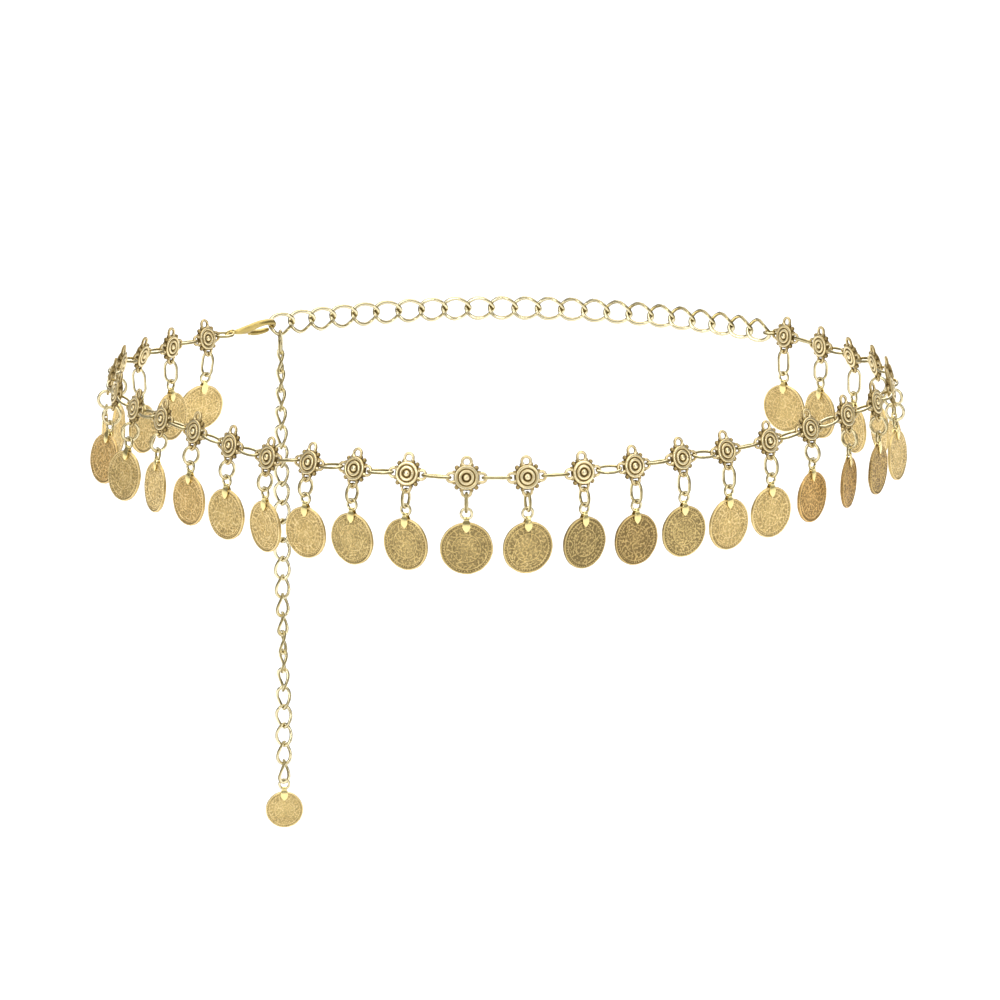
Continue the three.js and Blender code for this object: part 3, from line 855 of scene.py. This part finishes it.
def read_drop(station):
    """The place of a drop's hinge, Z up the drop and -Y where its coin looks, and how far its
    upper ring has been pulled longer."""
    mesh = frame["nodes"][station.name].data
    areas = np.array([face.area for face in mesh.polygons])
    normals = np.array([face.normal for face in mesh.polygons])
    middles = np.array([face.center for face in mesh.polygons])
    facing = Vector(normals[np.argmax(areas)])
    if facing.dot(station.inward) > 0:
        facing = -facing
    flat = areas * (np.abs(normals @ np.array(facing)) > PARALLEL)
    centre = Vector((middles * flat[:, None]).sum(axis=0) / flat.sum()) / MM
    down = (centre - station.hinge).normalized()
    facing = (facing - facing.dot(down) * down).normalized()
    place = axes(station.hinge, (-facing).cross(-down), -facing, -down)
    return Drop(place, max(0, (centre - station.hinge).length - COIN_DOWN))


def upper_ring_place(station, drop):
    """The upper ring hangs square to the belt: its plane holds the drop's length and the way in."""
    up = drop.place.to_3x3() @ Vector((0, 0, 1))
    across = station.tangent
    way_in = up.cross(across)
    middle = station.hinge + up * (UPPER_RING_TOP - RING_ACROSS / 2)
    return axes(middle, way_in, across, up)


Look = namedtuple("Look", "patina tone")
PLAIN_LOOK = Look(0.0, 0.1)
LOOKS = {
    12: Look(0.1, 0.0), 13: Look(0.15, 0.0), 14: Look(0.2, 0.0), 15: Look(0.2, 0.0),
    16: Look(0.35, 0.0), 17: Look(0.35, 0.2), 18: Look(0.2, 0.0), 21: Look(0.15, 0.6),
    22: Look(0.3, 0.6), 23: Look(0.3, 0.3), 5: Look(0.0, 0.4), 8: Look(0.0, 0.3),
}
upper_rings = {}
for index, station in enumerate(stations):
    drop = read_drop(station)
    pulled = round(drop.longer, 1)
    if pulled not in upper_rings:
        upper_rings[pulled] = pulled_ring(pulled)
    lowered = drop.place @ Matrix.Translation((0, 0, -drop.longer))
    look = LOOKS.get(index, PLAIN_LOOK)
    struck = stamped(coins[index % VARIANTS], lowered @ Matrix.Translation((0, 0, -COIN_DOWN))
                     @ Matrix.Rotation(index * COIN_TURN, 4, "Y"))
    set_value(struck, "worn", values_of(struck, "worn") - look.patina)
    set_value(struck, "tone", look.tone)
    parts = [
        struck,
        stamped(upper_rings[pulled], upper_ring_place(station, drop)),
        stamped(lower_ring, lowered @ Matrix.Translation((0, 0, -LOWER_RING_DOWN))),
        stamped(bail, lowered @ Matrix.Translation((0, 0, -BAIL_FOLD_DOWN))),
    ]
    place_piece(f"coin_{station.name}", parts, station.name, [station.name])
print("drops placed:", len(stations))

# %% [markdown]
# ## The chain behind
# A curb chain is a row of ovals, each twisted so that the next lies flat in it. The first link
# hangs on the right end ring. Links could be spread with an Array on a curve, but a copy placed
# at each step keeps every link whole and true. Places along the belt are in millimetres from the
# loop's front, to the right and all the way round.

# %% Place the chain and the end rings
BACK_LINKS, BACK_WIRE, BACK_WIDTH, BACK_TWIST = 23, 1.35, 8.6, 80
GAP = 0.3
LOOSE_END = 5.1
HOOKED_LINK_END = 477.2

right_end, left_end = station_far(ROSETTES - 1), LOOP_LENGTH + station_far(0)
right_lift, left_lift = stations[-1].lift, stations[0].lift
ring_near = right_end + LOOSE_END
ring_far = ring_near + END_RING_ACROSS
chain_start = ring_far - (RING_WIRE + BACK_WIRE) / 2
back_pitch = (HOOKED_LINK_END - GAP - chain_start - BACK_WIRE) / BACK_LINKS
back_length = back_pitch + BACK_WIRE
flat_on = Matrix.Rotation(math.pi / 2, 4, "X")

end_ring = wire_link("end_ring", END_RING_ACROSS, END_RING_ACROSS, RING_WIRE, ring_gold)
placed = stamped(end_ring, along((ring_near + ring_far) / 2, right_lift) @ flat_on)
place_piece("right_end_ring", [placed], "root", ["end_ring_right"])

back_link = wire_link(
    "back_link", back_length, BACK_WIDTH - BACK_WIRE, BACK_WIRE, pale_gold, twist=BACK_TWIST
)
parts = []
for index in range(BACK_LINKS):
    far = chain_start + back_length / 2 + index * back_pitch
    lift = right_lift + (left_lift - right_lift) * index / (BACK_LINKS - 1)
    parts.append(stamped(back_link, along(far, lift)))
place_piece("curb_chain_behind", parts, "root", ["back_chain"])
print("back chain pitch", round(back_pitch, 2), "mm")

# %% [markdown]
# ## The hanging end
# The spare length of chain hangs from the hooked link, and turns slowly as it goes down, as a
# curb chain does when nothing holds its end. A smaller coin closes it.

# %% Place the hanging chain and its coin
TAIL_LINKS, TAIL_WIRE, TAIL_WIDTH, TAIL_TWIST = 24, 1.2, 6.4, 82
TAIL_START, TAIL_TURN, TAIL_TURN_CUBED = -40, 8, 0.0125

tail_joint = joints["tail_swing"]
tail_hinge = Vector(tail_joint["pos_m"]) / MM
tail_along = -Vector(tail_joint["axis"]).normalized()
tail_place = axes(tail_hinge, tail_along, UP.cross(tail_along), UP)
tail_top = (BACK_WIRE + TAIL_WIRE) / 2
upright = Matrix.Rotation(math.pi / 2, 4, "Y")

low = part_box("tail_coin")[0]
coin_middle = Vector((tail_hinge.x, tail_hinge.y, low.z / MM + TAIL_COIN))
fold_up = COIN_DOWN - BAIL_FOLD_DOWN - COIN_ROWS[0].radius + TAIL_COIN
ring_up = fold_up + LOWER_ACROSS / 2
chain_low = coin_middle.z + ring_up + (LOWER_ACROSS - LOWER_WIRE - TAIL_WIRE) / 2
tail_pitch = (tail_hinge.z + tail_top - chain_low - TAIL_WIRE) / TAIL_LINKS
tail_length = tail_pitch + TAIL_WIRE


def tail_turn(index):
    return math.radians(TAIL_START + TAIL_TURN * index + TAIL_TURN_CUBED * index**3)


tail_sizes = (tail_length, TAIL_WIDTH - TAIL_WIRE, TAIL_WIRE)
tail_link = wire_link("tail_link", *tail_sizes, pale_gold, twist=TAIL_TWIST)
first_link = wire_link("first_link", *tail_sizes, pale_gold)
parts = []
for index in range(TAIL_LINKS):
    template = first_link if index == 0 else tail_link
    down = Matrix.Translation((0, 0, tail_top - tail_length / 2 - index * tail_pitch))
    turned = Matrix.Rotation(tail_turn(index) + math.pi / 2, 4, "Z")
    parts.append(stamped(template, tail_place @ down @ turned @ upright))
place_piece("curb_chain_hanging", parts, "tail", ["tail_chain"])

mesh = frame["nodes"]["tail_coin"].data
facing = Vector(max(mesh.polygons, key=lambda face: face.area).normal)
facing = -facing if facing.y > 0 else facing
tail_coin_place = axes(coin_middle, (-facing).cross(UP), -facing, UP)
parts = [
    stamped(tail_coin_blank, tail_coin_place),
    stamped(lower_ring, tail_coin_place @ Matrix.Translation((0, 0, ring_up))),
    stamped(bail, tail_coin_place @ Matrix.Translation((0, 0, fold_up))),
]
place_piece("hanging_coin", parts, "tail", ["tail_coin"])
print("tail pitch", round(tail_pitch, 3), "from", round(tail_hinge.z, 1), "to", round(low.z / MM, 1), "mm")

# %% [markdown]
# ## The clasp
# A lobster clasp is a cast hook with a sprung lever that closes its mouth, and an eye at its
# narrow end. Hook and lever are each one section carried along a row of places, wider here and
# thinner there, and rounded by Subdivision Surface.

# %% Sweep the clasp
Section = namedtuple("Section", "x y wide thick turned")

HOOK = [
    Section(18.6, 0.0, 1.5, 1.3, 0), Section(17.0, 0.0, 2.2, 1.7, 0), Section(14.8, 0.1, 3.5, 2.2, 0),
    Section(12.6, 0.4, 4.8, 2.5, 0), Section(11.0, 1.2, 4.4, 2.5, 0), Section(9.4, 2.5, 2.7, 2.4, -8),
    Section(7.2, 3.15, 2.0, 2.3, 0), Section(4.6, 3.15, 1.9, 2.3, 8), Section(2.4, 2.5, 1.8, 2.2, 32),
    Section(1.05, 1.4, 1.6, 2.1, 62), Section(0.75, 0.0, 1.5, 2.0, 90), Section(1.1, -1.2, 1.4, 1.8, 115),
]
LEVER = [
    Section(11.8, -1.1, 1.8, 2.2, 0), Section(10.0, -2.0, 2.1, 2.3, -14), Section(7.6, -2.75, 1.9, 2.2, -5),
    Section(4.8, -2.8, 1.7, 2.1, 8), Section(2.9, -2.4, 1.6, 1.9, 24), Section(1.9, -1.9, 1.4, 1.7, 42),
]
SECTION_SIDES, SECTION_RADIUS = 8, 0.54


def swept(name, rows):
    """Carries an eight-sided section through the rows, and rounds what it leaves."""
    first = rows[0]
    bpy.ops.mesh.primitive_circle_add(
        vertices=SECTION_SIDES, radius=SECTION_RADIUS, fill_type="NGON",
        rotation=(0, -math.pi / 2, 0),
    )
    sweep = just_added(name)
    open_with(sweep, "faces", everywhere)
    bpy.ops.transform.resize(value=(1, first.wide, first.thick), center_override=(0, 0, 0))
    bpy.ops.transform.translate(value=(first.x, first.y, 0))
    for before, row in zip(rows, rows[1:]):
        here = Vector((before.x, before.y, 0))
        bpy.ops.mesh.extrude_region()
        bpy.ops.transform.rotate(value=math.radians(before.turned), orient_axis="Z", center_override=here)
        bpy.ops.transform.resize(
            value=(1, row.wide / before.wide, row.thick / before.thick), center_override=here
        )
        bpy.ops.transform.rotate(value=-math.radians(row.turned), orient_axis="Z", center_override=here)
        bpy.ops.transform.translate(value=(row.x - before.x, row.y - before.y, 0))
    close_edit()
    right_way_out(sweep)
    add_modifier(sweep, "SUBSURF", levels=2, render_levels=2)
    finished(sweep, bright_gold, worn=0.3)
    smooth(sweep, angle=50)
    return sweep


CLASP_LENGTH, CLASP_BAR, CLASP_TILT = 18.5, 1.5, 45
CLASP_EYE_HOLE, CLASP_EYE_RIM = 1.1, 0.8
EYE_LENGTH, EYE_WIDTH, EYE_WIRE = 3.0, 2.9, 0.95
PIN_PLACE, PIN_RADIUS, PIN_LENGTH = (10.9, -1.6, 0), 0.5, 2.3
eye_out = CLASP_LENGTH + CLASP_EYE_HOLE + CLASP_EYE_RIM / 2
bar_outer = HOOKED_LINK_END - BACK_WIRE / 2 - GAP - CLASP_BAR
clasp_place = (
    along(bar_outer + eye_out / 2, left_lift) @ Matrix.Rotation(math.radians(CLASP_TILT), 4, "X")
    @ Matrix.Translation((-eye_out / 2, 0, 0))
)

hook = swept("hook", HOOK)
lever = swept("lever", LEVER)
eye = wire_link("eye", EYE_LENGTH, EYE_WIDTH, EYE_WIRE, bright_gold)
eye.data.transform(Matrix.Translation((eye_out, 0, 0)) @ Matrix.Rotation(math.pi / 2, 4, "X"))
bpy.ops.mesh.primitive_cylinder_add(
    vertices=16, radius=PIN_RADIUS, depth=PIN_LENGTH, location=PIN_PLACE
)
pin = just_added("pin")
add_modifier(pin, "BEVEL", width=0.15, segments=2, limit_method="ANGLE")
finished(pin, bright_gold, worn=0.5)
parts = [stamped(part, clasp_place) for part in (hook, eye, pin)]
place_piece("clasp_hook", parts, "root", ["clasp"])
place_piece("clasp_thumb_lever", [stamped(lever, clasp_place)], "root", ["clasp_lever"])

ring_size = left_end - LOOSE_END - (bar_outer + eye_out)
left_ring = wire_link("left_ring", ring_size, ring_size, RING_WIRE, ring_gold)
middle_far = (left_end - LOOSE_END + bar_outer + eye_out) / 2
placed = stamped(left_ring, along(middle_far, left_lift) @ flat_on)
place_piece("left_end_ring", [placed], "root", ["end_ring_left"])
print("left ring across", round(ring_size + RING_WIRE, 2), "mm")

# %% [markdown]
# ## Clear the bench
# The templates were only patterns. They go, so that nothing is left that rides on no body.

# %% Remove the templates
templates = [
    rosette, eyelet, bead, lower_ring, connector, pellet, bail, end_ring, back_link, tail_link,
    first_link, hook, lever, eye, pin, left_ring, tail_coin_blank, *upper_rings.values(), *coins, *motifs,
]
for template in templates:
    bpy.data.objects.remove(template)
print("pieces left:", sum(1 for thing in bpy.data.objects if thing.type == "MESH"))

# %% [markdown]
# ## Floor and light
# The photograph is lit softly all round on pure white. A wide pale floor and big soft lights do
# that. Metal shows what it reflects, so the world runs from dark grey low down to pale grey
# overhead. The dark part draws the edges that tell gold from yellow paint.

# %% Floor, lights and world
FLOOR_SIZE, FLOOR_MIDDLE = 24, (0, 4, -0.25)
FLOOR_WHITE, FLOOR_DULL, FLOOR_SHEEN = (0.92, 0.92, 0.915, 1), 0.9, 0.1
Lamp = namedtuple("Lamp", "name place size watts")
LAMPS = [
    Lamp("overhead", (0, 0.3, 2.6), (4.0, 4.0), 80),
    Lamp("front_left", (-1.8, -2.2, 1.3), (1.2, 1.6), 24),
    Lamp("front_right", (2.2, -1.8, 1.0), (0.9, 1.4), 16),
    Lamp("back", (0.3, 2.4, 1.4), (2.4, 1.0), 20),
]
STUDIO = [(0.0, (0.16, 0.15, 0.14)), (0.35, (0.3, 0.3, 0.3)), (0.8, (0.75, 0.75, 0.76))]
bpy.ops.mesh.primitive_plane_add(size=FLOOR_SIZE, location=FLOOR_MIDDLE)
floor = just_added("floor")
floor_finish = Finish(bpy.data.materials.new("floor_white"))
floor_finish.put(floor_finish.shader.inputs["Base Color"], FLOOR_WHITE)
floor_finish.put(floor_finish.shader.inputs["Roughness"], FLOOR_DULL)
floor_finish.put(floor_finish.shader.inputs["Specular IOR Level"], FLOOR_SHEEN)
floor.data.materials.append(floor_finish.owner)

for lamp in LAMPS:
    data = bpy.data.lights.new(lamp.name, "AREA")
    data.shape = "RECTANGLE"
    data.size, data.size_y = lamp.size
    data.energy = lamp.watts
    light = bpy.data.objects.new(lamp.name, data)
    bpy.context.scene.collection.objects.link(light)
    light.location = lamp.place
    light.rotation_euler = (Vector() - Vector(lamp.place)).to_track_quat("-Z", "Y").to_euler()

world = Finish(bpy.data.worlds.new("studio"), shader="Background")
towards = world.add("ShaderNodeTexCoord", output="Generated")
height = world.add("ShaderNodeSeparateXYZ", None, {0: towards}, output="Z")
studio = world.add("ShaderNodeValToRGB", {"stops": STUDIO}, {0: height})
world.put(world.shader.inputs["Color"], studio)
bpy.context.scene.world = world.owner
bpy.context.scene.view_settings.view_transform = "Standard"
